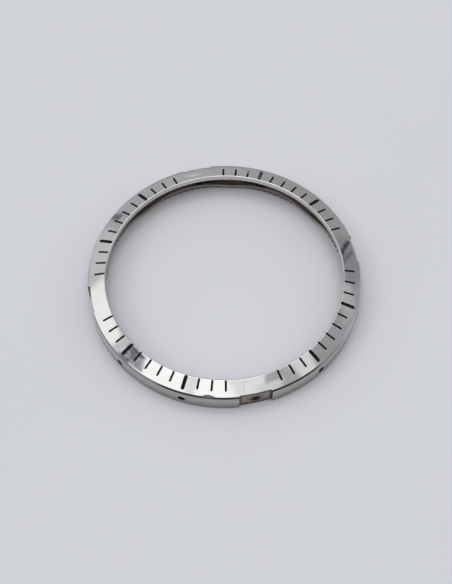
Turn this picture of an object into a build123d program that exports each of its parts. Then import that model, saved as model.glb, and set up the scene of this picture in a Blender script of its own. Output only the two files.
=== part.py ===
from build123d import *
import os
from math import cos, radians, sin

# Turning bezel of a wrist watch, with its click ring, spring wire and set screws.
# Millimetres, +Z up. The origin is the centre of the flat base. +Y points at the tab seat of
# minute 0 and +X at the tab seat of minute 15; minutes run clockwise seen from above.

# Bezel ring
OUTER_DIAMETER = 40.0
FACE_WIDTH = 2.69            # from the side wall in to the lip's bore
SKIRT_THICKNESS = 1.55       # from the side wall in to the bore under the lip
LIP_HEIGHT = 3.69            # sharp inner corner of the cone face, before its edge break
SHOULDER_HEIGHT = 2.98       # sharp outer corner of the cone face, before rounding
LIP_THICKNESS = 0.92
OUTER_EDGE_ROUND = 0.25
INNER_EDGE_BREAK = 0.06
BASE_EDGE_BREAK = 0.10

# Seats of the four rider tabs, cut in the side wall over its full height
SEAT_COUNT = 4
SEAT_WIDTH = 4.70
SEAT_DEPTH = 0.40
SEAT_CORNER_ROUND = 0.30

# Radial tapped holes: one in each seat and one at every other five-minute place
HOLE_COUNT = 12
HOLE_DIAMETER = 1.05
HOLE_HEIGHT = 1.38

# Marks of the minute scale, sunk in the top face and filled
MINUTES = 60
BAR_STEP = 5                 # minutes from one broad bar to the next
SEAT_GAP_MINUTES = 1         # minutes left bare on each side of a seat
LINE_WIDTH = 0.25
LINE_LENGTH = 1.50
LINE_START = 0.19            # from the lip's bore to the inner end
BAR_WIDTH = 0.48
BAR_LENGTH = 1.98
BAR_START = 0.15
POCKET_DEPTH = 0.18
FILL_SINK = 0.04             # top of the fill below the polished face

# Click ring, pressed into the skirt from below
CLICK_COUNT = 120
CLICK_RING_HEIGHT = 0.65
CLICK_RING_WIDTH = 0.47      # from the skirt's bore in to the tooth tips
TOOTH_DEPTH = 0.22

# Square spring wire between the click ring and the lip: straight sides joined by wide bends
WIRE_THICKNESS = 0.40
WIRE_SIDES = 8
WIRE_WAVE = 0.47             # how far the middle of a side stands in from the bends
WIRE_FIRST_SIDE_ANGLE = 75.0  # direction of the middle of one side, anticlockwise from +X
WIRE_GAP = 1.20              # between its two cut ends
WIRE_SIDE_PLAY = 0.05
WIRE_SEAT_PLAY = 0.02

# Set screws with a dog point, in the plain holes
SCREW_DIAMETER = 1.00
SCREW_BODY_LENGTH = 0.55
DOG_DIAMETER = 0.50
DOG_LENGTH = 0.75
SCREW_RECESS = 0.45          # slotted end below the side wall
SLOT_WIDTH = 0.18
SLOT_DEPTH = 0.20

CUT_OVERRUN = 1.0

outer_radius = OUTER_DIAMETER / 2
opening_radius = outer_radius - FACE_WIDTH
skirt_radius = outer_radius - SKIRT_THICKNESS
seat_radius = outer_radius - SEAT_DEPTH
ledge_height = LIP_HEIGHT - LIP_THICKNESS
seat_minutes = [i * MINUTES // SEAT_COUNT for i in range(SEAT_COUNT)]
hole_minutes = [i * MINUTES // HOLE_COUNT for i in range(HOLE_COUNT)]
screw_minutes = [minute for minute in hole_minutes if minute not in seat_minutes]


def direction(minute):
    """Angle of a minute, in degrees anticlockwise from +X."""
    return 90 - 360 * minute / MINUTES


def polar(radius, angle):
    return radius * cos(radians(angle)), radius * sin(radians(angle))


def facing(minute):
    """Turns a piece made along +X to point outwards at a minute."""
    return Rot(0, 0, direction(minute))


def nearest_corner(face, x, y):
    return face.vertices().sort_by_distance((x, y, 0))[0]


def turned(face):
    """Revolves a half section, drawn with x as radius and y as height."""
    return revolve(Plane.XZ * face, axis=Axis.Z)


def ring_blank():
    corners = [
        (outer_radius, SHOULDER_HEIGHT),
        (outer_radius, 0),
        (skirt_radius, 0),
        (skirt_radius, ledge_height),
        (opening_radius, ledge_height),
        (opening_radius, LIP_HEIGHT),
    ]
    face = make_face(Polyline(*corners, close=True))
    face = fillet(nearest_corner(face, outer_radius, SHOULDER_HEIGHT), OUTER_EDGE_ROUND)
    face = chamfer(nearest_corner(face, opening_radius, LIP_HEIGHT), INNER_EDGE_BREAK)
    face = chamfer(nearest_corner(face, outer_radius, 0), BASE_EDGE_BREAK)
    face = chamfer(nearest_corner(face, skirt_radius, 0), BASE_EDGE_BREAK)
    return turned(face)


def seat_cut():
    """What one rider tab takes out of the side wall, at +X."""
    reach = outer_radius + CUT_OVERRUN
    face = Pos(reach / 2, 0) * Rectangle(reach, SEAT_WIDTH) - Circle(seat_radius)
    half_width = SEAT_WIDTH / 2
    floor_end = (seat_radius**2 - half_width**2) ** 0.5
    for side in (-1, 1):
        face = fillet(nearest_corner(face, floor_end, side * half_width), SEAT_CORNER_ROUND)
    return Pos(0, 0, -CUT_OVERRUN) * extrude(face, LIP_HEIGHT + 2 * CUT_OVERRUN)


def hole_cut():
    """A radial hole through the wall, at +X."""
    length = outer_radius + CUT_OVERRUN - opening_radius
    drill = Cylinder(HOLE_DIAMETER / 2, length, align=(Align.CENTER, Align.CENTER, Align.MIN))
    return Pos(opening_radius, 0, HOLE_HEIGHT) * Rot(0, 90, 0) * drill


def is_bar(minute):
    return minute % BAR_STEP == 0


def marked_minutes():
    """Every minute that has a mark: the seats and their neighbours stay bare."""
    found = []
    for minute in range(MINUTES):
        gaps = [abs((minute - seat + MINUTES // 2) % MINUTES - MINUTES // 2) for seat in seat_minutes]
        if min(gaps) > SEAT_GAP_MINUTES:
            found.append(minute)
    return found


def cone_height(radius):
    return LIP_HEIGHT - (LIP_HEIGHT - SHOULDER_HEIGHT) * (radius - opening_radius) / FACE_WIDTH


def mark_block(minute, rise):
    """One mark with upright walls, from its pocket's sloping floor to rise over the cone face."""
    start, length, width = LINE_START, LINE_LENGTH, LINE_WIDTH
    if is_bar(minute):
        start, length, width = BAR_START, BAR_LENGTH, BAR_WIDTH
    inner = opening_radius + start
    outer = inner + length
    low, high = cone_height(outer) - POCKET_DEPTH, cone_height(inner) - POCKET_DEPTH
    floor = Polyline(
        (inner, -width / 2, high),
        (inner, width / 2, high),
        (outer, width / 2, low),
        (outer, -width / 2, low),
        close=True,
    )
    return facing(minute) * extrude(make_face(floor), POCKET_DEPTH + rise, dir=(0, 0, 1))


def bezel_ring():
    seats = [facing(minute) * seat_cut() for minute in seat_minutes]
    holes = [facing(minute) * hole_cut() for minute in hole_minutes]
    pockets = [mark_block(minute, CUT_OVERRUN) for minute in marked_minutes()]
    return ring_blank() - seats - holes - pockets


def mark_fill(minutes):
    """The fill of one or more marks, lying on the pocket floor."""
    return Compound([mark_block(minute, -FILL_SINK) for minute in minutes])


def click_ring():
    """Thin ring whose inner face carries one-way teeth: a radial flank, then a long slope."""
    tip_radius = skirt_radius - CLICK_RING_WIDTH
    root_radius = tip_radius + TOOTH_DEPTH
    pitch = 360 / CLICK_COUNT
    outline = []
    for tooth in range(CLICK_COUNT):
        outline.append(polar(root_radius, tooth * pitch))
        outline.append(polar(tip_radius, tooth * pitch))
    return extrude(Circle(skirt_radius) - make_face(Polyline(*outline, close=True)), CLICK_RING_HEIGHT)


def wire_outline(side_middle, bend_outer):
    """Rounded polygon that comes out to bend_outer at its bends, with one bend on +X."""
    corner = side_middle / cos(radians(180 / WIRE_SIDES))
    bend_radius = (corner - bend_outer) / (corner / side_middle - 1)
    outline = RegularPolygon(side_middle, WIRE_SIDES, major_radius=False)
    return fillet(outline.vertices(), bend_radius)


def retaining_wire():
    """Square spring wire lying on the click ring, cut open at the middle of one bend."""
    bend_outer = skirt_radius - WIRE_SIDE_PLAY
    outer = wire_outline(bend_outer - WIRE_WAVE, bend_outer)
    gap = Pos(bend_outer, 0) * Rectangle(4 * WIRE_THICKNESS, WIRE_GAP)
    strip = outer - offset(outer, -WIRE_THICKNESS) - gap
    gap_angle = WIRE_FIRST_SIDE_ANGLE + 180 - 180 / WIRE_SIDES
    height = CLICK_RING_HEIGHT + WIRE_SEAT_PLAY
    return Pos(0, 0, height) * Rot(0, 0, gap_angle) * extrude(strip, WIRE_THICKNESS)


def set_screw():
    """Slotted set screw along +X, its slot outwards, sunk below the side wall."""
    radius = SCREW_DIAMETER / 2
    dog_radius = DOG_DIAMETER / 2
    slot_end = outer_radius - SCREW_RECESS
    shoulder = slot_end - SCREW_BODY_LENGTH
    tip = shoulder - DOG_LENGTH
    outline = [
        (tip, 0),
        (tip, dog_radius),
        (shoulder, dog_radius),
        (shoulder, radius),
        (slot_end, radius),
        (slot_end, 0),
    ]
    body = revolve(make_face(Polyline(*outline, close=True)), axis=Axis.X)
    slot = Pos(slot_end, 0, 0) * Box(2 * SLOT_DEPTH, SLOT_WIDTH, SCREW_DIAMETER)
    return Pos(0, 0, HOLE_HEIGHT) * (body - slot)


def write_node(name, piece):
    export_step(piece, f"parts/{name}.step")


def main():
    os.makedirs("parts", exist_ok=True)
    write_node("bezel_ring", bezel_ring())
    write_node("click_ring", click_ring())
    write_node("retaining_wire", retaining_wire())
    for minute in screw_minutes:
        write_node(f"set_screw_{minute:02d}", facing(minute) * set_screw())
    for minute in marked_minutes():
        if is_bar(minute):
            write_node(f"bar_{minute:02d}", mark_fill([minute]))
    quarter = MINUTES // SEAT_COUNT
    for first in seat_minutes:
        last = first + quarter
        lines = [minute for minute in marked_minutes() if first < minute < last and not is_bar(minute)]
        write_node(f"minute_lines_{first:02d}_{last:02d}", mark_fill(lines))


main()
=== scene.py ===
from math import atan2, cos, hypot, pi, radians, sin, sqrt

import bmesh
import bpy
import numpy as np
from mathutils import Euler, Matrix, Vector


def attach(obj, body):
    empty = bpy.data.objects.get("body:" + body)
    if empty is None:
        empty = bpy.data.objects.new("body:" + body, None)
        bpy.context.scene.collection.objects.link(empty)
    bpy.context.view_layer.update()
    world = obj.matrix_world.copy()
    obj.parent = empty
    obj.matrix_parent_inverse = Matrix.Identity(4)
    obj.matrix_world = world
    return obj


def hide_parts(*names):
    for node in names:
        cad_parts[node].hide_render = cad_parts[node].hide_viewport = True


bl_info = {
    "name": "Watch bezel",
    "version": (1, 0, 0),
    "blender": (4, 5, 0),
    "location": "3D View > Sidebar > Watch bezel",
    "description": "Turning bezel ring of a wrist watch, its materials and its studio",
    "category": "Object",
}

# Metres, +Z up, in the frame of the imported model: the origin is the centre of the flat base,
# +Y points at the tab seat of minute 0 and +X at the tab seat of minute 15. Minutes run
# clockwise seen from above.
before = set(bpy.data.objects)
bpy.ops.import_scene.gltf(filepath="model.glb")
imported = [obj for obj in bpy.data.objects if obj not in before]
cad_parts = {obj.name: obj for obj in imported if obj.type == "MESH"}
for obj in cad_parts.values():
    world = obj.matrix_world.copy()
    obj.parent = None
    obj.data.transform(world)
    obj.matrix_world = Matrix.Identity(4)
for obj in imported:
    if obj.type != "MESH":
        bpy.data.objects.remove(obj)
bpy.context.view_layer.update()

MM = 0.001

# Minute scale, tab seats and holes
MINUTES = 60
BAR_STEP = 5                 # minutes from one broad bar to the next
SEAT_COUNT = 4
SEAT_GAP_MINUTES = 1         # minutes left bare on each side of a seat
HOLE_COUNT = 12

# Wear
GREYED_BAR = 5               # minute of the bar whose fill has gone grey
WORN_AWAY = {4: 0.55}        # share of a mark's fill that is left, by its minute
NICK_TURN = radians(199.0)   # clockwise from +Y
NICK_LEAN = radians(60.5)    # of its normal, over level
NICK_DEPTH = 0.065 * MM
NICK_LENGTH = 3.2 * MM       # half axes of the round form that wears it
NICK_WIDTH = 3.0 * MM
NICK_BULGE = 1.0 * MM

# Lean over level of the outline's normal, where an arch of the top edges ends
INNER_ARCH_LOW = radians(62)
BEVEL_LOW = radians(35)
BEVEL_HIGH = radians(47)

# Fineness of the meshes
RING_STEPS = 360
WALL_STEPS = 3
ROUND_STEPS = 4
ARCH_STEPS = 6
TOP_STEPS = 9
SEAT_CORNER_STEPS = 8
SEAT_FLOOR_STEPS = 14
MARK_END_STEPS = 8
HOLE_SIDES = 40
NICK_SUBDIVISIONS = 5
CUT_OVERRUN = 1.0 * MM       # how far a cutter stands out of the ring
DISH_INSET = 0.25            # from the fill's rim in to its dished middle, as a share of its width

# How the faces of the cut ring are told apart
SHARP_ANGLE = radians(30)    # between faces of a cut, over which their edge stays sharp
FIT_LIMIT = 0.0025 * MM      # how far a turned face's corners may lie from its run
FACING_LIMIT = 0.985         # least cosine between a turned face's normal and its run's
UPRIGHT_LIMIT = 0.05         # greatest rise of an upright face's normal
PLACE_SLACK = 0.05 * MM      # in telling whether a face lies in a seat


# Settings

def size(name, description, default):
    """A length in metres that a user may change."""
    return bpy.props.FloatProperty(
        name=name,
        description=description,
        default=default,
        min=0.0,
        precision=6,
        subtype="DISTANCE",
        unit="LENGTH",
    )


def colour(name, description, default):
    """A colour that a user may change."""
    return bpy.props.FloatVectorProperty(
        name=name,
        description=description,
        default=default,
        min=0.0,
        max=1.0,
        size=3,
        subtype="COLOR",
    )


def level(name, description, default):
    """A level of light that a user may change."""
    return bpy.props.FloatProperty(name=name, description=description, default=default, min=0.0)


class BezelRingSettings(bpy.types.PropertyGroup):
    """Sizes and colours of the turned ring."""

    outer_diameter: size("Outer diameter", "Across the side wall", 40.0 * MM)
    face_width: size("Face width", "From the side wall in to the lip's bore", 2.69 * MM)
    skirt_thickness: size("Skirt thickness", "From the side wall in to the bore under the lip", 1.55 * MM)
    lip_height: size("Lip height", "Sharp inner corner of the top face", 3.67 * MM)
    shoulder_height: size("Shoulder height", "Sharp outer corner of the top face", 2.96 * MM)
    top_crown: size("Crown", "Rise of the arched top face over its chord", 0.055 * MM)
    ledge_height: size("Ledge height", "Underside of the lip", 2.77 * MM)
    outer_edge_round: size("Outer edge round", "Between the side wall and the bevel over it", 0.15 * MM)
    bevel_arch: size("Bevel arch", "Radius of the slightly arched outer bevel", 1.50 * MM)
    inner_arch: size("Inner arch", "Radius of the soft inner edge of the top face", 0.22 * MM)
    inner_edge_round: size("Inner edge round", "Between the inner arch and the lip's bore", 0.06 * MM)
    base_edge_break: size("Base edge break", "Bevel of both lower edges", 0.10 * MM)
    ledge_edge_break: size("Ledge edge break", "Bevel of the lip's lower edge", 0.03 * MM)
    seat_width: size("Seat width", "Across one tab seat", 4.70 * MM)
    seat_depth: size("Seat depth", "From the side wall in to the seat's floor", 0.40 * MM)
    seat_corner_round: size("Seat corner round", "Where the seat's floor meets its ends", 0.30 * MM)
    hole_diameter: size("Hole diameter", "Of the radial holes", 1.05 * MM)
    hole_height: size("Hole height", "Of the radial holes' axes over the base", 1.38 * MM)
    steel: colour("Steel", "Polished steel of the ring", (0.570, 0.559, 0.549))
    side_steel: colour("Side steel", "Finely turned steel of the side wall", (0.555, 0.525, 0.497))
    # Lighter than the polished steel of the top face: painted light that brightens what the bore reflects.
    brightened_bore_steel: colour("Bore steel", "Polished steel of the lip's bore", (0.66, 0.635, 0.60))
    seat_steel: colour("Seat steel", "Dull steel of the tab seats and the skirt", (0.42, 0.375, 0.345))
    residue: colour("Residue", "Pale residue on the top face", (0.78, 0.78, 0.75))
    # The grime colour also paints the shade under the tab seats' top edges.
    grime: colour("Grime", "Dark dirt of the seats, the holes and the pockets", (0.022, 0.018, 0.015))
    rust: colour("Rust", "Rust in the seat of minute 30 and in its hole", (0.20, 0.075, 0.030))


class BezelMarkSettings(bpy.types.PropertyGroup):
    """Sizes of the sunk marks and the colour of their fill."""

    line_width: size("Line width", "Across a minute line", 0.32 * MM)
    line_length: size("Line length", "Along a minute line", 1.57 * MM)
    line_start: size("Line start", "From the lip's bore to the line", 0.13 * MM)
    bar_width: size("Bar width", "Across a five-minute bar", 0.53 * MM)
    bar_length: size("Bar length", "Along a five-minute bar", 2.08 * MM)
    bar_start: size("Bar start", "From the lip's bore to the bar", 0.10 * MM)
    pocket_depth: size("Pocket depth", "Below the top face", 0.16 * MM)
    fill_sink: size("Fill sink", "Rim of the fill below the top face", 0.025 * MM)
    fill_dish: size("Fill dish", "Middle of the fill below its rim", 0.015 * MM)
    fill: colour("Fill", "Black fill of the marks", (0.003, 0.003, 0.004))
    worn_fill: colour("Worn fill", "Fill that has gone grey", (0.16, 0.16, 0.16))


class BezelInnerSettings(bpy.types.PropertyGroup):
    """Colours of the click ring, the spring wire and the set screws."""

    click_ring: colour("Click ring", "Plain steel of the toothed ring", (0.32, 0.283, 0.255))
    wire: colour("Spring wire", "Drawn spring steel", (0.40, 0.36, 0.33))
    screws: colour("Set screws", "Steel of the set screws", (0.10, 0.09, 0.08))
    grime: colour("Grime", "Old dirt in the undercut", (0.17, 0.135, 0.11))


class BezelStageSettings(bpy.types.PropertyGroup):
    """Floor, light and camera."""

    floor: colour("Floor", "Pale table top", (0.78, 0.79, 0.83))
    floor_size: size("Floor size", "Side of the floor", 4.0)
    room: level("Room light", "Radiance of the plain room", 0.62)
    far_panel: level("Far panel", "What the panel over the far side adds to the room light", 1.5)
    near_panel: level("Near panel", "What the panel over the near side adds to the room light", 0.9)
    left_panel: level("Left panel", "What the panel at the left adds to the room light", 1.0)
    focal_length: bpy.props.FloatProperty(
        name="Focal length", description="Of the camera, in millimetres", default=63.73, min=1.0
    )


# Node helpers

NOISE_RANGE = (0.3, 0.7)     # where most of a noise lies


def feed(tree, node, inputs):
    """Sets inputs of a node, each to a value or to the output socket that feeds it."""
    for socket, value in inputs.items():
        if isinstance(value, bpy.types.NodeSocket):
            tree.links.new(value, node.inputs[socket])
        else:
            node.inputs[socket].default_value = value


def add_node(tree, kind, inputs, **settings):
    """Adds a node with its settings and inputs."""
    made = tree.nodes.new(kind)
    for name, value in settings.items():
        setattr(made, name, value)
    feed(tree, made, inputs)
    return made


def math_node(tree, operation, *values):
    inputs = dict(enumerate(values))
    return add_node(tree, "ShaderNodeMath", inputs, operation=operation).outputs[0]


def product(tree, first, second):
    return math_node(tree, "MULTIPLY", first, second)


def largest(tree, *values):
    found = values[0]
    for value in values[1:]:
        found = math_node(tree, "MAXIMUM", found, value)
    return found


def scaled(tree, vector, factor):
    """A vector or a colour times a number."""
    inputs = {0: vector, "Scale": factor}
    return add_node(tree, "ShaderNodeVectorMath", inputs, operation="SCALE").outputs[0]


def dot_product(tree, vector, other):
    inputs = {0: vector, 1: other}
    return add_node(tree, "ShaderNodeVectorMath", inputs, operation="DOT_PRODUCT").outputs["Value"]


def coordinates(tree, vector):
    """The x, y and z of a vector."""
    return add_node(tree, "ShaderNodeSeparateXYZ", {0: vector}).outputs


def object_millimetres(tree):
    """Object coordinates counted in millimetres."""
    place = tree.nodes.new("ShaderNodeTexCoord").outputs["Object"]
    return scaled(tree, place, 1 / MM)


def noise(tree, place, scale, detail, roughness, stretch=None, turn=0.0):
    """A noise value from 0 to 1, stretched along one direction if asked."""
    if stretch is not None:
        turned = add_node(tree, "ShaderNodeMapping", {"Vector": place, "Rotation": (0, 0, turn)})
        drawn = add_node(tree, "ShaderNodeMapping", {"Vector": turned.outputs[0], "Scale": stretch})
        place = drawn.outputs[0]
    inputs = {"Vector": place, "Scale": scale, "Detail": detail, "Roughness": roughness}
    return add_node(tree, "ShaderNodeTexNoise", inputs).outputs[0]


def ramp(tree, value, low, high, start=0.0, end=1.0):
    """Maps low to high on start to end, held at both ends."""
    inputs = {"Value": value, "From Min": low, "From Max": high, "To Min": start, "To Max": end}
    return add_node(tree, "ShaderNodeMapRange", inputs, clamp=True).outputs[0]


def soft_step(tree, value, low, high):
    """0 up to low, rising smoothly to 1 at high."""
    inputs = {"Value": value, "From Min": low, "From Max": high}
    return add_node(tree, "ShaderNodeMapRange", inputs, interpolation_type="SMOOTHSTEP").outputs[0]


def soft_fall(tree, value, low, high):
    """1 up to low, falling smoothly to 0 at high."""
    return soft_step(tree, product(tree, value, -1.0), -high, -low)


def blend(tree, factor, first, second):
    """Mixes two colours, each a socket or three numbers."""
    inputs = {0: factor}
    for socket, value in ((6, first), (7, second)):
        inputs[socket] = value if isinstance(value, bpy.types.NodeSocket) else (*value, 1.0)
    return add_node(tree, "ShaderNodeMix", inputs, data_type="RGBA").outputs[2]


def relief(tree, height, strength, distance):
    """Normal of a surface that a height makes uneven."""
    inputs = {"Height": height, "Strength": strength, "Distance": distance}
    return add_node(tree, "ShaderNodeBump", inputs).outputs[0]


def rectangle_mask(tree, place, x, y, length, width, turn, softness):
    """1 inside a turned rectangle, fading to 0 across its edges; the place has x, y and 1."""
    sides = []
    for span, angle in ((length, turn), (width, turn + 90)):
        across = (cos(radians(angle)), sin(radians(angle)))
        plane = (*across, -(x * across[0] + y * across[1]))
        away = math_node(tree, "ABSOLUTE", dot_product(tree, place, plane))
        sides.append(soft_fall(tree, away, (span - softness) / 2, (span + softness) / 2))
    return product(tree, *sides)


def new_material(name):
    """A new material with its node tree, its shader and object coordinates in millimetres."""
    material = bpy.data.materials.new(name)
    material.use_nodes = True
    tree = material.node_tree
    return material, tree, tree.nodes["Principled BSDF"], object_millimetres(tree)


# Steel

CLOUD_SHADES = (0.94, 1.03)  # between which the colour of the steel drifts
STEEL_RELIEF = 0.003 * MM    # height of its waves
SCRATCH_HEIGHT = -0.25       # as a share of the relief, like the next
SPECKLE_HEIGHT = 0.03
SCRATCH_ROUGHNESS = 0.10     # added by a scratch
GRIME_ROUGHNESS = 0.45       # added by grime
GRIME_METALLIC = 0.25
GRIME_EDGE = (0.62, 0.70)    # levels of a noise between which grime comes in, less its share

# Runs of fine scratches: turn in radians, and a shift in millimetres that keeps them apart.
SCRATCH_RUNS = ((0.35, 0.0), (1.45, 7.0), (2.55, 19.0))
SCRATCH_STRETCH = (0.22, 9.0, 0.6)

# Painted shade on the side wall: darker near the table and close under the top edge. The heights in
# millimetres between which its steel's colour changes, and how much of its colour it keeps at both.
WALL_FOOT_SHADE = (0.3, 2.1, 0.60, 1.0)
WALL_EDGE_SHADE = (2.35, 2.80, 1.0, 0.66)

# Faint prints that the edges of a tab left beside the seat of minute 30: degrees clockwise from
# +Y, radius, length and width in millimetres, turn from the radial direction, darkness.
PRINTS = [
    (184.5, 18.60, 1.45, 0.09, 0, 0.55),
    (183.5, 17.92, 0.45, 0.08, 90, 0.60),
    (174.4, 18.40, 1.10, 0.16, 0, 0.40),
]
PRINT_COLOUR = (0.25, 0.24, 0.25)
PRINT_SOFTNESS = 0.10
PRINT_ROUGHNESS = 0.12

# Pale residue beside the seat of minute 0: x, y, length and width in millimetres, turn.
RESIDUE = [(-1.15, 18.42, 1.9, 0.55, 3), (-0.45, 18.20, 1.5, 0.35, 1)]
RESIDUE_COVER = 0.9
RESIDUE_SOFTNESS = 0.45
RESIDUE_ROUGHNESS = 0.25

# Where a tab seat goes from clean to dirty, in millimetres: out from its end, up from the table and
# out from the hole's axis, each with a ragged border; and where painted shade darkens it, down from
# its top edge.
SEAT_END_DIRT = (0.0, 0.30)
SEAT_FOOT_DIRT = (1.15, 0.85)
SEAT_HOLE_DIRT = (1.50, 1.15)
SEAT_EDGE_SHADE = (0.38, 0.16)
HOLE_DIRT_COVER = 0.9
STREAK_STRETCH = (3.5, 3.5, 0.5)
STREAK_SHADE = 0.6           # of a dull streak, as a share of the seat's colour


def scratches(tree, place):
    """Thin straight marks in three directions, 1 in a scratch and 0 beside it."""
    lines = []
    for turn, shift in SCRATCH_RUNS:
        inputs = {0: place, 1: (shift, shift, shift)}
        moved = add_node(tree, "ShaderNodeVectorMath", inputs, operation="ADD").outputs[0]
        grain = noise(
            tree, moved, scale=1.0, detail=2.0, roughness=0.4, stretch=SCRATCH_STRETCH, turn=turn
        )
        lines.append(ramp(tree, grain, 0.70, 0.76))
    return largest(tree, *lines)


def metal_material(name, steel, polish, grime=None, share=0.0, grain=1.0, wall=False):
    """Steel with uneven polish, fine scratches and, where asked, patches of grime; a wall also gets
    painted shade, darker near the table and under its top edge. The polish is its least and greatest
    roughness; a larger grain makes its speckle finer and rougher."""
    material, tree, shader, place = new_material(name)
    cloud = noise(tree, place, scale=0.35, detail=4.0, roughness=0.55)
    speckle = noise(tree, place, scale=5.0 * grain, detail=5.0, roughness=0.65)
    wave = noise(tree, place, scale=0.8, detail=2.0, roughness=0.5)
    lines = scratches(tree, place)

    shade = ramp(tree, cloud, *NOISE_RANGE, *CLOUD_SHADES)
    # Painted shade on a wall: its colour darkens towards the table and close under its top edge.
    if wall:
        height = coordinates(tree, place)[2]
        shade = product(tree, shade, ramp(tree, height, *WALL_FOOT_SHADE))
        shade = product(tree, shade, ramp(tree, height, *WALL_EDGE_SHADE))
    tint = scaled(tree, steel, shade)
    rough = ramp(tree, speckle, *NOISE_RANGE, *polish)
    rough = math_node(tree, "MULTIPLY_ADD", lines, SCRATCH_ROUGHNESS, rough)
    metallic = 1.0
    if grime is not None:
        patches = noise(tree, place, scale=1.4, detail=6.0, roughness=0.7)
        mask = ramp(tree, patches, *(edge - share for edge in GRIME_EDGE))
        tint = blend(tree, mask, tint, grime)
        rough = math_node(tree, "MULTIPLY_ADD", mask, GRIME_ROUGHNESS, rough)
        metallic = ramp(tree, mask, 0.0, 1.0, start=1.0, end=GRIME_METALLIC)

    height = math_node(tree, "MULTIPLY_ADD", lines, SCRATCH_HEIGHT, wave)
    height = math_node(tree, "MULTIPLY_ADD", speckle, SPECKLE_HEIGHT * grain, height)
    normal = relief(tree, height, strength=0.5, distance=STEEL_RELIEF)
    feed(tree, shader, {"Base Color": tint, "Roughness": rough, "Metallic": metallic, "Normal": normal})
    return material


def stains(residue):
    """Stained areas of the top face: rectangle, softness, colour, cover and added roughness."""
    found = []
    for turn, radius, length, width, across, cover in PRINTS:
        angle = 90 - turn
        x, y = radius * cos(radians(angle)), radius * sin(radians(angle))
        area = (x, y, length, width, angle + across)
        found.append((area, PRINT_SOFTNESS, PRINT_COLOUR, cover, PRINT_ROUGHNESS))
    for area in RESIDUE:
        found.append((area, RESIDUE_SOFTNESS, residue, RESIDUE_COVER, RESIDUE_ROUGHNESS))
    return found


def add_stains(material, residue):
    """Adds to the polished steel the prints of a tab's edges and a patch of pale residue."""
    tree = material.node_tree
    shader = tree.nodes["Principled BSDF"]
    place = object_millimetres(tree)
    x, y = coordinates(tree, place)[:2]
    flat = add_node(tree, "ShaderNodeCombineXYZ", {0: x, 1: y, 2: 1.0}).outputs[0]
    spots = noise(tree, place, scale=5.0, detail=3.0, roughness=0.6)
    broken = ramp(tree, spots, 0.35, 0.55, start=0.35, end=1.0)
    tint = shader.inputs["Base Color"].links[0].from_socket
    rough = shader.inputs["Roughness"].links[0].from_socket
    for area, softness, stain, cover, roughness in stains(residue):
        mask = product(tree, rectangle_mask(tree, flat, *area, softness), broken)
        tint = blend(tree, product(tree, mask, cover), tint, stain)
        rough = math_node(tree, "MULTIPLY_ADD", mask, roughness, rough)
    feed(tree, shader, {"Base Color": tint, "Roughness": rough})


def seat_material(name, ring, dirty, rusty):
    """Dull streaked steel of a tab seat, with painted shade in a band under its top edge. Dirty is how
    thick the dirt along its edges is, and rusty the share of rust in it."""
    material, tree, shader, place = new_material(name)
    cloud = noise(tree, place, scale=0.9, detail=5.0, roughness=0.65)
    fine = noise(tree, place, scale=6.0, detail=5.0, roughness=0.7)
    streaks = noise(tree, place, scale=1.0, detail=3.0, roughness=0.6, stretch=STREAK_STRETCH)
    ragged = math_node(tree, "MULTIPLY_ADD", fine, 0.4, product(tree, cloud, 0.5))

    x, y, height = coordinates(tree, place)
    sideways = math_node(tree, "MINIMUM", math_node(tree, "ABSOLUTE", x), math_node(tree, "ABSOLUTE", y))
    from_end = math_node(tree, "SUBTRACT", sideways, ring.seat_width / 2 / MM)
    from_axis = math_node(tree, "SUBTRACT", height, ring.hole_height / MM)
    squared = math_node(tree, "MULTIPLY_ADD", from_axis, from_axis, product(tree, sideways, sideways))
    from_hole = math_node(tree, "SQRT", squared)
    from_top = math_node(tree, "SUBTRACT", ring.shoulder_height / MM, height)
    at_end = ramp(tree, math_node(tree, "ADD", from_end, ragged), *SEAT_END_DIRT)
    at_foot = ramp(tree, math_node(tree, "ADD", height, ragged), *SEAT_FOOT_DIRT)
    at_hole = ramp(tree, math_node(tree, "ADD", from_hole, ragged), *SEAT_HOLE_DIRT, end=HOLE_DIRT_COVER)
    # Painted shade: a band of grime colour close under the seat's top edge.
    painted_edge_shade = ramp(tree, from_top, *SEAT_EDGE_SHADE)
    dirt = product(tree, largest(tree, at_foot, at_end, at_hole), dirty)

    dull = [STREAK_SHADE * part for part in ring.seat_steel]
    tint = blend(tree, ramp(tree, streaks, 0.35, 0.65), ring.seat_steel, dull)
    soil = blend(tree, ramp(tree, fine, 0.48, 0.64, end=rusty), ring.grime, ring.rust)
    tint = blend(tree, dirt, tint, soil)
    inputs = {
        "Base Color": blend(tree, painted_edge_shade, tint, ring.grime),
        "Metallic": ramp(tree, largest(tree, dirt, painted_edge_shade), 0.0, 1.0, start=0.9, end=0.2),
        "Roughness": ramp(tree, fine, *NOISE_RANGE, start=0.25, end=0.45),
        "Normal": relief(tree, fine, strength=0.5, distance=0.01 * MM),
    }
    feed(tree, shader, inputs)
    return material


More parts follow.
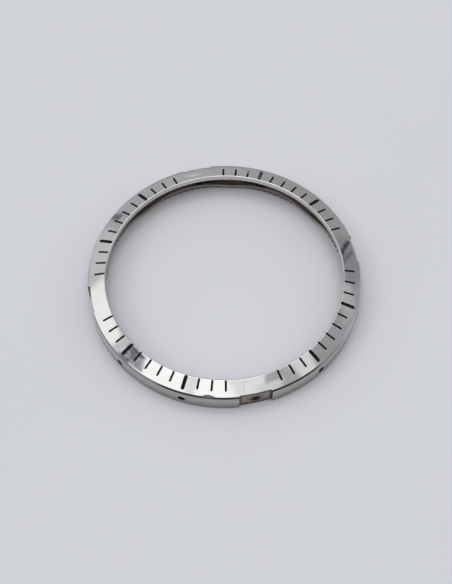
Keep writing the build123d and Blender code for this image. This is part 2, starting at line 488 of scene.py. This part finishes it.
def ring_materials(ring):
    """The steels of the ring, by the kind of face that they are for."""
    steel, dull, grime, rust = ring.steel, ring.seat_steel, ring.grime, ring.rust
    soil = [0.4 * part for part in dull]
    polished = metal_material("ring_polished_steel", steel, (0.03, 0.08))
    add_stains(polished, ring.residue)
    return {
        "polished": polished,
        # The bore's steel is lighter than the top face's: painted light in its reflection.
        "bore": metal_material("ring_brightened_bore_steel", ring.brightened_bore_steel, (0.03, 0.08)),
        # The side wall's steel carries painted shade near the table and under its top edge.
        "side": metal_material("ring_side_steel_painted_shade", ring.side_steel, (0.08, 0.16), wall=True),
        "turned": metal_material("ring_turned_steel", dull, (0.22, 0.38), soil, share=0.06, grain=2.0),
        "seat": seat_material("ring_seat_steel", ring, dirty=0.45, rusty=0.15),
        "rusty_seat": seat_material("ring_rusty_seat_steel", ring, dirty=1.0, rusty=0.8),
        "rusty_hole": metal_material("ring_hole_rust", grime, (0.40, 0.60), rust, share=0.24, grain=1.5),
        "hole": metal_material("ring_hole_steel", steel, (0.30, 0.50), grime, share=0.50),
        "pocket": metal_material("ring_pocket_steel", steel, (0.25, 0.40), grime, share=0.12),
    }


# Places round the ring

def at(radius, turn, height):
    """Point at a radius, an angle clockwise from +Y, and a height."""
    return Vector((radius * sin(turn), radius * cos(turn), height))


def placed(outward, sideways, height, minute):
    """A point given outwards and sideways from the direction of a minute."""
    turn = 2 * pi * minute / MINUTES
    x = outward * sin(turn) + sideways * cos(turn)
    y = outward * cos(turn) - sideways * sin(turn)
    return Vector((x, y, height))


def seat_minutes():
    return [i * MINUTES // SEAT_COUNT for i in range(SEAT_COUNT)]


def is_bar(minute):
    return minute % BAR_STEP == 0


def marked_minutes():
    """Every minute that has a mark: the seats and their neighbours stay bare."""
    half = MINUTES // 2
    return [
        minute
        for minute in range(MINUTES)
        if all(abs((minute - seat + half) % MINUTES - half) > SEAT_GAP_MINUTES for seat in seat_minutes())
    ]


# Half section of the ring

def straight(start, end, count=1):
    """Run of the half section along a line; metal lies on its left."""
    out, up = end[0] - start[0], end[1] - start[1]
    span = hypot(out, up)
    points = [(start[0] + out * i / count, start[1] + up * i / count) for i in range(count + 1)]
    return {"points": points, "start": start, "normal": (up / span, -out / span), "centre": None}


def round_run(centre, radius, start, end, count):
    """Run of the half section along an arc, between two directions from its centre."""
    angles = [start + (end - start) * i / count for i in range(count + 1)]
    points = [(centre[0] + radius * cos(angle), centre[1] + radius * sin(angle)) for angle in angles]
    return {"points": points, "centre": centre, "radius": radius}


def crown_arc(ring, opening, outer):
    """Centre and radius of the arched top face."""
    drop = ring.lip_height - ring.shoulder_height
    chord = hypot(ring.face_width, drop)
    radius = (chord**2 / 4 + ring.top_crown**2) / (2 * ring.top_crown)
    lean = atan2(drop, ring.face_width)
    sink = radius - ring.top_crown
    middle = ((opening + outer) / 2, (ring.lip_height + ring.shoulder_height) / 2)
    return (middle[0] - sink * sin(lean), middle[1] - sink * cos(lean)), radius


def inner_edge(ring, opening, crown_centre, crown):
    """Where the top face runs into its soft inner arch, that arch, and the small round between it
    and the bore, all tangent."""
    arch, small = ring.inner_arch, ring.inner_edge_round
    turned_in = pi - INNER_ARCH_LOW
    arch_radius = opening + small - (arch - small) * cos(turned_in)
    across = arch_radius - crown_centre[0]
    arch_centre = (arch_radius, crown_centre[1] + sqrt((crown - arch) ** 2 - across**2))
    meet = atan2(arch_centre[1] - crown_centre[1], across)
    round_centre = (opening + small, arch_centre[1] + (arch - small) * sin(turned_in))
    inner_arch = round_run(arch_centre, arch, meet, turned_in, ARCH_STEPS)
    return meet, inner_arch, round_run(round_centre, small, turned_in, pi, ROUND_STEPS)


def outer_edge(ring, outer, crown_centre, crown):
    """Where the top face meets the outer bevel in a faint corner, that bevel, and the small round
    between it and the side wall."""
    arch, small = ring.bevel_arch, ring.outer_edge_round
    end = outer - small * (1 - cos(BEVEL_LOW)) - arch * (cos(BEVEL_LOW) - cos(BEVEL_HIGH))
    across = end - crown_centre[0]
    rise = sqrt(crown**2 - across**2)
    bevel_centre = (end - arch * cos(BEVEL_HIGH), crown_centre[1] + rise - arch * sin(BEVEL_HIGH))
    round_centre = (outer - small, bevel_centre[1] + (arch - small) * sin(BEVEL_LOW))
    bevel = round_run(bevel_centre, arch, BEVEL_LOW, BEVEL_HIGH, ROUND_STEPS)
    return atan2(rise, across), bevel, round_run(round_centre, small, 0.0, BEVEL_LOW, ROUND_STEPS)


def ring_runs(ring):
    """The turned outline, from the side wall up over the top face and round to the base."""
    outer = ring.outer_diameter / 2
    opening = outer - ring.face_width
    skirt = outer - ring.skirt_thickness
    ledge, lip, base = ring.ledge_height, ring.ledge_edge_break, ring.base_edge_break
    crown_centre, crown = crown_arc(ring, opening, outer)
    outer_meet, bevel, outer_round = outer_edge(ring, outer, crown_centre, crown)
    inner_meet, inner_arch, inner_round = inner_edge(ring, opening, crown_centre, crown)
    return {
        "side": straight((outer, base), (outer, outer_round["centre"][1]), WALL_STEPS),
        "outer_round": outer_round,
        "bevel": bevel,
        "top": round_run(crown_centre, crown, outer_meet, inner_meet, TOP_STEPS),
        "inner_arch": inner_arch,
        "inner_round": inner_round,
        "bore": straight((opening, inner_round["centre"][1]), (opening, ledge + lip)),
        "lip_break": straight((opening, ledge + lip), (opening + lip, ledge)),
        "ledge": straight((opening + lip, ledge), (skirt, ledge)),
        "skirt": straight((skirt, ledge), (skirt, base), WALL_STEPS),
        "skirt_break": straight((skirt, base), (skirt + base, 0.0)),
        "base": straight((skirt + base, 0.0), (outer - base, 0.0)),
        "base_break": straight((outer - base, 0.0), (outer, base)),
    }


# Ring mesh

def turned_mesh(runs):
    """Revolves the runs into one closed mesh."""
    outline = [point for run in runs.values() for point in run["points"][:-1]]
    made = bmesh.new()
    sections = []
    for step in range(RING_STEPS):
        turn = 2 * pi * (step + 0.5) / RING_STEPS
        sections.append([made.verts.new(at(radius, turn, height)) for radius, height in outline])
    for step in range(RING_STEPS):
        here, there = sections[step], sections[(step + 1) % RING_STEPS]
        for i in range(len(outline)):
            j = (i + 1) % len(outline)
            made.faces.new((here[i], there[i], there[j], here[j]))
    bmesh.ops.recalc_face_normals(made, faces=made.faces)
    return made


def side_faces(made, lower, upper):
    """Faces between two loops of the same count."""
    found = []
    for i in range(len(lower)):
        j = (i + 1) % len(lower)
        found.append(made.faces.new((lower[i], lower[j], upper[j], upper[i])))
    return found


def add_prism(made, first, second):
    """Closed prism between two outlines of the same count."""
    lower = [made.verts.new(point) for point in first]
    upper = [made.verts.new(point) for point in second]
    ends = [made.faces.new(lower), made.faces.new(upper)]
    bmesh.ops.recalc_face_normals(made, faces=ends + side_faces(made, lower, upper))


def seat_outline(ring):
    """Plan of one seat cut, as outward and sideways distances, with rounded inner corners."""
    outer = ring.outer_diameter / 2
    floor = outer - ring.seat_depth
    half, corner = ring.seat_width / 2, ring.seat_corner_round
    side = half - corner
    centre = sqrt((floor + corner) ** 2 - side**2)
    meet = atan2(side, centre)
    end = [(outer + CUT_OVERRUN, half)]
    for i in range(SEAT_CORNER_STEPS + 1):
        angle = pi / 2 + (pi / 2 - meet) * i / SEAT_CORNER_STEPS
        end.append((centre + corner * cos(angle), side + corner * sin(angle)))
    angles = [meet * (1 - 2 * i / SEAT_FLOOR_STEPS) for i in range(1, SEAT_FLOOR_STEPS)]
    middle = [(floor * cos(angle), floor * sin(angle)) for angle in angles]
    return end + middle + [(x, -y) for x, y in reversed(end)]


def seat_cutters(ring):
    """What the four tab seats take out of the side wall."""
    made = bmesh.new()
    plan = seat_outline(ring)
    for minute in seat_minutes():
        lower = [placed(x, y, -CUT_OVERRUN, minute) for x, y in plan]
        upper = [placed(x, y, ring.lip_height + CUT_OVERRUN, minute) for x, y in plan]
        add_prism(made, lower, upper)
    return made


def mark_sizes(marks, minute):
    """Start, length and width of a minute's mark."""
    if is_bar(minute):
        return marks.bar_start, marks.bar_length, marks.bar_width
    return marks.line_start, marks.line_length, marks.line_width


def mark_outline(start, span, width, inset=0.0):
    """Plan of a mark with round ends, as distances outwards from the lip's bore and sideways."""
    round_end = width / 2
    reach = round_end - inset
    outline = []
    for centre, first in ((start + span - round_end, -pi / 2), (start + round_end, pi / 2)):
        for i in range(MARK_END_STEPS + 1):
            angle = first + pi * i / MARK_END_STEPS
            outline.append((centre + reach * cos(angle), reach * sin(angle)))
    return outline


def pocket_floor(ring, marks, outward):
    """Height of a pocket's sloping floor, outwards from the lip's bore."""
    slope = (ring.lip_height - ring.shoulder_height) / ring.face_width
    return ring.lip_height - slope * outward - marks.pocket_depth


def hole_and_pocket_cutters(ring, marks):
    """What the radial holes and the pockets of the marks take out of the ring."""
    made = bmesh.new()
    outer = ring.outer_diameter / 2
    opening = outer - ring.face_width
    radius = ring.hole_diameter / 2
    turns = [2 * pi * i / HOLE_SIDES for i in range(HOLE_SIDES)]
    circle = [(radius * cos(turn), ring.hole_height + radius * sin(turn)) for turn in turns]
    for i in range(HOLE_COUNT):
        minute = i * MINUTES // HOLE_COUNT
        inner_end = [placed(opening, y, z, minute) for y, z in circle]
        outer_end = [placed(outer + CUT_OVERRUN, y, z, minute) for y, z in circle]
        add_prism(made, inner_end, outer_end)
    for minute in marked_minutes():
        plan = mark_outline(*mark_sizes(marks, minute))
        floor = [placed(opening + x, y, pocket_floor(ring, marks, x), minute) for x, y in plan]
        top = [placed(opening + x, y, ring.lip_height + CUT_OVERRUN, minute) for x, y in plan]
        add_prism(made, floor, top)
    return made


def nick_cutter(runs):
    """Flat round form that wears a small flat into the outer top edge, past minute 33."""
    made = bmesh.new()
    bmesh.ops.create_icosphere(made, subdivisions=NICK_SUBDIVISIONS, radius=1.0)
    outward = at(cos(NICK_LEAN), NICK_TURN, sin(NICK_LEAN))
    along = Vector((cos(NICK_TURN), -sin(NICK_TURN), 0.0))
    axes = Matrix((along, outward.cross(along), outward)).transposed().to_4x4()
    shape = Matrix.Diagonal((NICK_LENGTH, NICK_WIDTH, NICK_BULGE, 1.0))
    corner_radius, corner_height = runs["bevel"]["points"][-1]
    middle = at(corner_radius, NICK_TURN, corner_height) + outward * (NICK_BULGE - NICK_DEPTH)
    bmesh.ops.transform(made, matrix=Matrix.Translation(middle) @ axes @ shape, verts=made.verts)
    return made


def object_from(made, name):
    """Turns a mesh under construction into an object of the scene."""
    mesh = bpy.data.meshes.new(name)
    made.to_mesh(mesh)
    made.free()
    piece = bpy.data.objects.new(name, mesh)
    bpy.context.scene.collection.objects.link(piece)
    return piece


def cut(piece, cutter):
    """Takes the cutter out of the piece and removes the cutter."""
    modifier = piece.modifiers.new("cut", "BOOLEAN")
    modifier.operation = "DIFFERENCE"
    modifier.solver = "EXACT"
    modifier.object = cutter
    shapes = bpy.context.evaluated_depsgraph_get()
    result = bpy.data.meshes.new_from_object(piece.evaluated_get(shapes))
    piece.modifiers.clear()
    old = piece.data
    piece.data = result
    bpy.data.meshes.remove(old)
    bpy.data.meshes.remove(cutter.data)


def run_fit(run, radius, height):
    """How far points lie from a run, and the run's normal at each of them."""
    if run["centre"] is None:
        out, up = run["normal"]
        away = np.abs((radius - run["start"][0]) * out + (height - run["start"][1]) * up)
        return away, np.full_like(radius, out), np.full_like(radius, up)
    out, up = radius - run["centre"][0], height - run["centre"][1]
    reach = np.hypot(out, up)
    return np.abs(reach - run["radius"]), out / reach, up / reach


def whole_numbers(items, name):
    """One whole number of each item of a mesh."""
    values = np.zeros(len(items), np.int32)
    items.foreach_get(name, values)
    return values


def vectors(items, name):
    """One vector of each item of a mesh, as rows of x, y and z."""
    values = np.zeros(len(items) * 3)
    items.foreach_get(name, values)
    return values.reshape(-1, 3)


def smooth_turned_faces(mesh, runs):
    """Gives faces of the turned surface its true normals, and returns each face's run."""
    names = list(runs)
    face_count = len(mesh.polygons)
    face_normals = vectors(mesh.polygons, "normal")
    totals = whole_numbers(mesh.polygons, "loop_total")
    corner_face = np.repeat(np.arange(face_count), totals)
    starts = np.concatenate([[0], np.cumsum(totals)[:-1]])
    x, y, height = vectors(mesh.vertices, "co")[whole_numbers(mesh.loops, "vertex_index")].T
    radius = np.hypot(x, y)

    mesh.polygons.foreach_set("use_smooth", np.ones(face_count, bool))
    mesh.set_sharp_from_angle(angle=SHARP_ANGLE)
    normals = vectors(mesh.corner_normals, "vector")
    owner = np.full(face_count, -1)
    best = np.full(face_count, FIT_LIMIT)
    for index, name in enumerate(names):
        away, out, up = run_fit(runs[name], radius, height)
        true = np.stack([out * x / radius, out * y / radius, up], -1)
        worst = np.maximum.reduceat(away, starts)
        middle = np.add.reduceat(true, starts) / totals[:, None]
        facing = (middle * face_normals).sum(1)
        better = (worst < best) & (facing > FACING_LIMIT)
        best[better] = worst[better]
        owner[better] = index
        chosen = owner[corner_face] == index
        normals[chosen] = true[chosen]
    mesh.normals_split_custom_set([tuple(normal) for normal in normals])
    return [names[i] if i >= 0 else None for i in owner]


# Steel of the runs; the others have the turned steel.
RUN_STEELS = {
    "side": "side",
    "outer_round": "polished",
    "bevel": "polished",
    "top": "polished",
    "inner_arch": "polished",
    "inner_round": "bore",
    "bore": "bore",
}


def face_steel(ring, face, run):
    """Which steel a face has: from its run or, in a cut, from its place."""
    if run is not None:
        return RUN_STEELS.get(run, "turned")
    x, y, height = face.center
    reach = hypot(x, y)
    floor = ring.outer_diameter / 2 - ring.seat_depth
    rusty_side = y < 0 and abs(x) < ring.seat_width / 2 + PLACE_SLACK
    if abs(face.normal.z) < UPRIGHT_LIMIT and reach > floor - PLACE_SLACK:
        return "rusty_seat" if rusty_side else "seat"
    if height > ring.ledge_height:
        return "pocket" if reach < floor else "polished"
    return "rusty_hole" if rusty_side else "hole"


class BEZEL_OT_ring(bpy.types.Operator):
    """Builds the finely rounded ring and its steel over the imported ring"""

    bl_idname = "bezel.ring"
    bl_label = "Bezel ring"

    def execute(self, context):
        ring, marks = context.scene.bezel_ring, context.scene.bezel_marks
        runs = ring_runs(ring)
        piece = object_from(turned_mesh(runs), "ring_polished")
        cut(piece, object_from(seat_cutters(ring), "seat_cutter"))
        cut(piece, object_from(hole_and_pocket_cutters(ring, marks), "hole_cutter"))
        cut(piece, object_from(nick_cutter(runs), "nick_cutter"))
        face_runs = smooth_turned_faces(piece.data, runs)
        materials = ring_materials(ring)
        for material in materials.values():
            piece.data.materials.append(material)
        kinds = list(materials)
        for face, run in zip(piece.data.polygons, face_runs):
            face.material_index = kinds.index(face_steel(ring, face, run))
        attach(piece, "bezel")
        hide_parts("bezel_ring")
        return {"FINISHED"}


# Mark fill

DUST_EDGE = (0.62, 0.80)     # levels of a noise between which a fill without wear goes grey


def fill_material(name, marks, wear):
    """Black fill with a dull, dusty surface; wear is how far it has gone grey."""
    material, tree, shader, place = new_material(name)
    dust = noise(tree, place, scale=4.0, detail=5.0, roughness=0.65)
    greyed = ramp(tree, dust, *(edge - wear / 3 for edge in DUST_EDGE))
    inputs = {
        "Base Color": blend(tree, greyed, marks.fill, marks.worn_fill),
        "Roughness": ramp(tree, dust, 0.3, 0.8, start=0.35, end=0.7),
        "Specular IOR Level": 0.12,
        "Normal": relief(tree, dust, strength=0.4, distance=0.01 * MM),
    }
    feed(tree, shader, inputs)
    return material


def top_height(runs, radius):
    """Height of the top face or, nearer to the bore, of its soft inner edge."""
    top, inner = runs["top"], runs["inner_arch"]
    arc = inner if radius < inner["points"][0][0] else top
    return arc["centre"][1] + sqrt(arc["radius"] ** 2 - (radius - arc["centre"][0]) ** 2)


def add_fill(made, ring, marks, runs, minute):
    """The dished fill of one mark: its foot in the pocket's floor, its rim and its middle."""
    opening = ring.outer_diameter / 2 - ring.face_width
    start, span, width = mark_sizes(marks, minute)
    left = span * WORN_AWAY.get(minute, 1.0)
    loops = []
    for inset, sink in ((0.0, None), (0.0, 0.0), (DISH_INSET * width, marks.fill_dish)):
        loop = []
        for x, y in mark_outline(start, left, width, inset):
            if sink is None:
                height = pocket_floor(ring, marks, x) - marks.fill_dish
            else:
                height = top_height(runs, hypot(opening + x, y)) - marks.fill_sink - sink
            loop.append(made.verts.new(placed(opening + x, y, height, minute)))
        loops.append(loop)
    faces = [made.faces.new(loops[0])]
    for lower, upper in zip(loops, loops[1:]):
        faces += side_faces(made, lower, upper)
    cap = loops[2]
    for i in range(len(cap) // 2 - 1):
        j = len(cap) - 1 - i
        faces.append(made.faces.new((cap[i], cap[i + 1], cap[j - 1], cap[j])))
    bmesh.ops.recalc_face_normals(made, faces=faces)


def fill_piece(ring, marks, runs, node, minutes, material):
    """The fill of one or more marks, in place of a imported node."""
    made = bmesh.new()
    for minute in minutes:
        add_fill(made, ring, marks, runs, minute)
    piece = object_from(made, f"fill_{node}")
    piece.data.materials.append(material)
    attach(piece, "bezel")
    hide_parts(node)


class BEZEL_OT_marks(bpy.types.Operator):
    """Lays the worn black fill in the marks of the ring"""

    bl_idname = "bezel.marks"
    bl_label = "Mark fill"

    def execute(self, context):
        ring, marks = context.scene.bezel_ring, context.scene.bezel_marks
        runs = ring_runs(ring)
        plain = fill_material("mark_fill", marks, wear=0.10)
        greyed = fill_material("mark_fill_greyed", marks, wear=0.55)
        marked = marked_minutes()
        for minute in filter(is_bar, marked):
            material = greyed if minute == GREYED_BAR else plain
            fill_piece(ring, marks, runs, f"bar_{minute:02d}", [minute], material)
        for first in seat_minutes():
            last = first + MINUTES // SEAT_COUNT
            lines = [minute for minute in marked if first < minute < last and not is_bar(minute)]
            fill_piece(ring, marks, runs, f"minute_lines_{first:02d}_{last:02d}", lines, plain)
        return {"FINISHED"}


# Carried-over pieces

def dress(node, material):
    """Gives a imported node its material."""
    mesh = bpy.data.objects[node].data
    mesh.materials.clear()
    mesh.materials.append(material)


class BEZEL_OT_inner(bpy.types.Operator):
    """Gives the click ring, the spring wire and the set screws their steel"""

    bl_idname = "bezel.inner"
    bl_label = "Inner pieces"

    def execute(self, context):
        inner = context.scene.bezel_inner
        toothed, drawn, grime = inner.click_ring, inner.wire, inner.grime
        click_steel = metal_material("click_ring_steel", toothed, (0.28, 0.42), grime, share=0.05, grain=2.0)
        wire_steel = metal_material("spring_wire_steel", drawn, (0.22, 0.36), grime, share=0.03, grain=1.5)
        screw_steel = metal_material("set_screw_steel", inner.screws, (0.30, 0.45), grime, share=0.18)
        dress("click_ring", click_steel)
        dress("retaining_wire", wire_steel)
        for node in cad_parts:
            if node.startswith("set_screw_"):
                dress(node, screw_steel)
        return {"FINISHED"}


# Stage

CEILING_HEIGHT = 1.0
PANEL_WATTS = 4              # per square metre of a panel whose radiance is 1

# Lamps on the ceiling: centre x and y, width and depth in metres.
FAR_PANEL = (0.16, 0.36, 0.56, 0.34)
NEAR_PANEL = (0.05, -0.40, 0.80, 0.26)
LEFT_PANEL = (-1.20, -0.05, 0.80, 0.90)

# Camera: its place in metres, and in degrees its tilt up from straight down, its lean to one side
# and its heading, anticlockwise from +Y.
CAMERA_PLACE = (-0.016389, -0.077308, 0.131691)
CAMERA_TILT = 30.566
CAMERA_LEAN = 0.302
CAMERA_HEADING = -12.614

# The plain room: its tint, the sines of the elevations between which its light rises from the
# table's level, and the light that is left at that level, as a share of that higher up.
ROOM_TINT = (0.985, 1.0, 1.035)
HORIZON = (0.10, 0.37)
HORIZON_SHARE = 0.4

# The dark lower wall of the room on the camera's side: the direction where it stands, the cosines
# at which its two ends fade out, and the sines of the elevations at which its top does.
DARK_WALL_TURN = 182
DARK_WALL_SIDE = (0.53, 0.66)
DARK_WALL_TOP = (0.46, 0.56)
DARK_WALL_LIGHT = 0.07
DARK_WALL_WARMTH = 0.02

# What the polished steel sees of the room. Round areas: degrees clockwise from +Y, degrees above
# the floor, inner and outer radius in degrees. Patches are rectangles on a ceiling one metre above
# the table, and the darker ones are mottled: centre x and y, length, width, turn in degrees,
# softness of the edge. Both end with a level of light and a warmth, below zero where it is bluish.
ROUND_AREAS = [
    (318, 38, 16, 21, 0.85, 0.0),
    (45, 29, 10, 32, 0.49, -0.01),
    (54, 41, 5.5, 10, 0.40, -0.03),
    (78, 55, 9, 17, 0.52, -0.02),
    (61, 51, 1.5, 5, 0.72, 0.0),
    (70, 50, 2, 6, 0.66, 0.0),
    (95, 22, 14, 22, 1.10, 0.01),
    (192, 25, 38, 50, 0.25, 0.01),
]
PATCHES = [
    (-0.165, 0.03, 0.67, 0.50, 0, 0.03, 1.25, 0.01),
    (-0.265, 0.03, 0.56, 0.50, 0, 0.05, 1.68, 0.015),
    (-0.165, -0.005, 0.40, 0.055, 62, 0.03, 1.28, 0.01),
    (0.20, -0.17, 0.14, 0.18, 0, 0.06, 1.05, 0.0),
    (0.385, -0.01, 0.46, 0.12, -64, 0.05, 1.12, 0.0),
    (-0.60, 0.56, 0.50, 0.52, -14, 0.12, 1.45, 0.01),
    (-0.47, 0.315, 0.34, 0.06, 18, 0.03, 0.92, -0.03),
    (-0.41, 0.19, 0.26, 0.10, 44, 0.03, 0.31, -0.14),
    (-0.45, 0.232, 0.30, 0.09, 21, 0.03, 0.22, -0.14),
    (-0.325, 0.262, 0.05, 0.09, 27, 0.03, 0.15, -0.12),
    (0.966, 0.843, 0.54, 0.040, 33, 0.015, 0.0, 0.0),
    (0.939, 0.742, 0.48, 0.032, 27, 0.02, 0.16, -0.12),
    (-0.545, 1.79, 0.60, 0.08, 115, 0.03, 0.15, -0.10),
]
MOTTLED_BELOW = 0.6          # light of a patch
MOTTLE_COVER = 0.62          # how much of a mottled patch is there where it is thinnest
LOWEST_CEILING = 0.05        # sine of the elevation below which the ceiling isn't drawn true
NEUTRAL_TINT = (0.985, 1.0, 1.02)  # of a light with no warmth


def tinted(light, warmth):
    """Colour of a light from its level and its warmth."""
    red, green, blue = NEUTRAL_TINT
    cool = min(warmth, 0.0)
    return light * (red + warmth), light * (green + cool / 2), light * (blue - 1.5 * warmth)


def sky_direction(turn, elevation):
    """Unit vector at degrees clockwise from +Y and degrees above the floor."""
    return at(cos(radians(elevation)), radians(turn), sin(radians(elevation)))


def direction_mask(tree, direction, centre, inner, outer):
    """1 within inner degrees of a direction, fading to 0 at outer degrees."""
    match = dot_product(tree, direction, centre)
    return soft_step(tree, match, cos(radians(outer)), cos(radians(inner)))


def add_patches(tree, direction, height, shade):
    """Paints the patches of the ceiling over the room."""
    stretch = math_node(tree, "DIVIDE", 1.0, math_node(tree, "MAXIMUM", height, LOWEST_CEILING))
    place = scaled(tree, direction, stretch)
    spots = noise(tree, place, scale=26.0, detail=3.0, roughness=0.6)
    mottle = ramp(tree, spots, 0.38, 0.58, start=MOTTLE_COVER, end=1.0)
    for *area, light, warmth in PATCHES:
        mask = rectangle_mask(tree, place, *area)
        if light < MOTTLED_BELOW:
            mask = product(tree, mask, mottle)
        shade = blend(tree, mask, shade, tinted(light, warmth))
    return shade


def build_room(stage):
    """The plain room round the table, with the bright and dark areas that the steel reflects."""
    world = bpy.data.worlds.new("room")
    bpy.context.scene.world = world
    world.use_nodes = True
    tree = world.node_tree
    direction = tree.nodes.new("ShaderNodeTexCoord").outputs["Generated"]
    height = coordinates(tree, direction)[2]
    rising = ramp(tree, height, *HORIZON, stage.room * HORIZON_SHARE, stage.room)
    shade = scaled(tree, ROOM_TINT, rising)
    for turn, elevation, inner, outer, light, warmth in ROUND_AREAS:
        mask = direction_mask(tree, direction, sky_direction(turn, elevation), inner, outer)
        shade = blend(tree, mask, shade, tinted(light, warmth))
    aside = dot_product(tree, direction, sky_direction(DARK_WALL_TURN, 0))
    between_ends = soft_step(tree, aside, *DARK_WALL_SIDE)
    mask = product(tree, between_ends, soft_fall(tree, height, *DARK_WALL_TOP))
    shade = blend(tree, mask, shade, tinted(DARK_WALL_LIGHT, DARK_WALL_WARMTH))
    shade = add_patches(tree, direction, height, shade)
    feed(tree, tree.nodes["Background"], {"Color": shade, "Strength": 1.0})


def add_panel(name, panel, radiance):
    """A lamp on the ceiling that faces down and adds radiance to the room light there."""
    x, y, width, depth = panel
    lamp = bpy.data.lights.new(name, "AREA")
    lamp.shape = "RECTANGLE"
    lamp.size, lamp.size_y = width, depth
    lamp.energy = radiance * PANEL_WATTS * width * depth
    piece = bpy.data.objects.new(name, lamp)
    piece.location = (x, y, CEILING_HEIGHT)
    piece.visible_camera = False
    bpy.context.scene.collection.objects.link(piece)


def floor_material(pale):
    """Pale table top whose tone drifts a little."""
    material, tree, shader, place = new_material("table_top")
    cloud = noise(tree, place, scale=0.02, detail=3.0, roughness=0.5)
    tone = ramp(tree, cloud, *NOISE_RANGE, start=0.985, end=1.01)
    inputs = {"Base Color": scaled(tree, pale, tone), "Roughness": 0.8, "Specular IOR Level": 0.1}
    feed(tree, shader, inputs)
    return material


def build_floor(stage):
    """The table top, level with the ring's base."""
    made = bmesh.new()
    half = stage.floor_size / 2
    corners = [(-half, -half, 0), (half, -half, 0), (half, half, 0), (-half, half, 0)]
    made.faces.new([made.verts.new(corner) for corner in corners])
    floor = object_from(made, "floor")
    floor.data.materials.append(floor_material(stage.floor))


def build_camera(stage):
    """The camera, at the photograph's viewing angle."""
    lens = bpy.data.cameras.new("camera")
    lens.lens = stage.focal_length
    lens.sensor_width = 36.0
    lens.clip_start, lens.clip_end = 0.005, 20.0
    camera = bpy.data.objects.new("camera", lens)
    angles = Euler([radians(angle) for angle in (CAMERA_TILT, CAMERA_LEAN, CAMERA_HEADING)])
    camera.matrix_world = Matrix.LocRotScale(CAMERA_PLACE, angles, None)
    bpy.context.scene.collection.objects.link(camera)
    bpy.context.scene.camera = camera


class BEZEL_OT_stage(bpy.types.Operator):
    """Builds the floor, the room, the lamps and the camera"""

    bl_idname = "bezel.stage"
    bl_label = "Stage"

    def execute(self, context):
        stage = context.scene.bezel_stage
        context.scene.view_settings.view_transform = "Standard"
        build_floor(stage)
        build_room(stage)
        add_panel("panel_far", FAR_PANEL, stage.far_panel)
        add_panel("panel_near", NEAR_PANEL, stage.near_panel)
        add_panel("panel_left", LEFT_PANEL, stage.left_panel)
        build_camera(stage)
        return {"FINISHED"}


class BEZEL_PT_panel(bpy.types.Panel):
    """Lists the steps that build the bezel and its stage"""

    bl_idname = "BEZEL_PT_panel"
    bl_label = "Watch bezel"
    bl_space_type = "VIEW_3D"
    bl_region_type = "UI"
    bl_category = "Watch bezel"

    def draw(self, context):
        for operator, settings in STEPS:
            box = self.layout.box()
            box.operator(operator.bl_idname)
            group = getattr(context.scene, settings)
            for name in group.__annotations__:
                box.prop(group, name)


SETTINGS = {
    "bezel_ring": BezelRingSettings,
    "bezel_marks": BezelMarkSettings,
    "bezel_inner": BezelInnerSettings,
    "bezel_stage": BezelStageSettings,
}
STEPS = [
    (BEZEL_OT_ring, "bezel_ring"),
    (BEZEL_OT_marks, "bezel_marks"),
    (BEZEL_OT_inner, "bezel_inner"),
    (BEZEL_OT_stage, "bezel_stage"),
]
CLASSES = [*SETTINGS.values(), *(operator for operator, settings in STEPS), BEZEL_PT_panel]


def register():
    for item in CLASSES:
        bpy.utils.register_class(item)
    for name, group in SETTINGS.items():
        setattr(bpy.types.Scene, name, bpy.props.PointerProperty(type=group))


def unregister():
    for name in SETTINGS:
        delattr(bpy.types.Scene, name)
    for item in reversed(CLASSES):
        bpy.utils.unregister_class(item)


def main():
    register()
    bpy.ops.bezel.ring()
    bpy.ops.bezel.marks()
    bpy.ops.bezel.inner()
    bpy.ops.bezel.stage()


if __name__ == "__main__":
    main()
